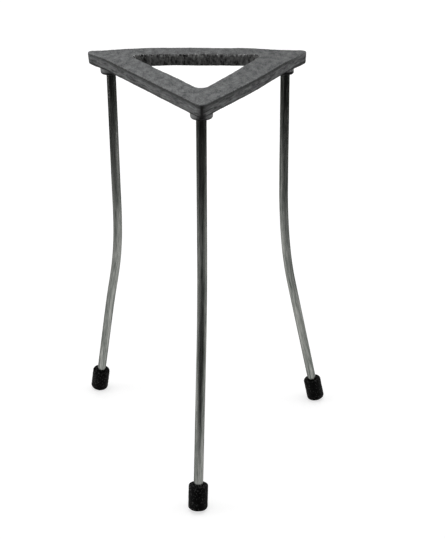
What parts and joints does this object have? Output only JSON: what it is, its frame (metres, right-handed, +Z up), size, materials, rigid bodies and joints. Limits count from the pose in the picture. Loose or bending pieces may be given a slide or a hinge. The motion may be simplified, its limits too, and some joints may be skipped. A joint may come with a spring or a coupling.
{
  "type": "lab tripod stand",
  "caption": "Triangular cast frame on bent steel rod legs with rubber feet, which carries a gauze or a vessel over a burner.",
  "frame": {"origin": "middle of the triangle, on the flat top face that carries the gauze or the vessel", "axes": "+Z straight up out of the top face, -Y from the middle to the front corner of the frame, +X to the right; the bench is 232 mm below the origin"},
  "size_m": [0.1542, 0.1407, 0.232],
  "materials": {
    "frame": "as-cast surface under dark grey paint",
    "legs": "drawn rod with a dull zinc plating",
    "feet": "matt black moulded rubber"
  },
  "bodies": {
    "root": {"top_frame": "frame", "leg_front": "legs", "leg_left": "legs", "leg_right": "legs", "foot_front": "feet", "foot_left": "feet", "foot_right": "feet"}
  },
  "joints": []
}
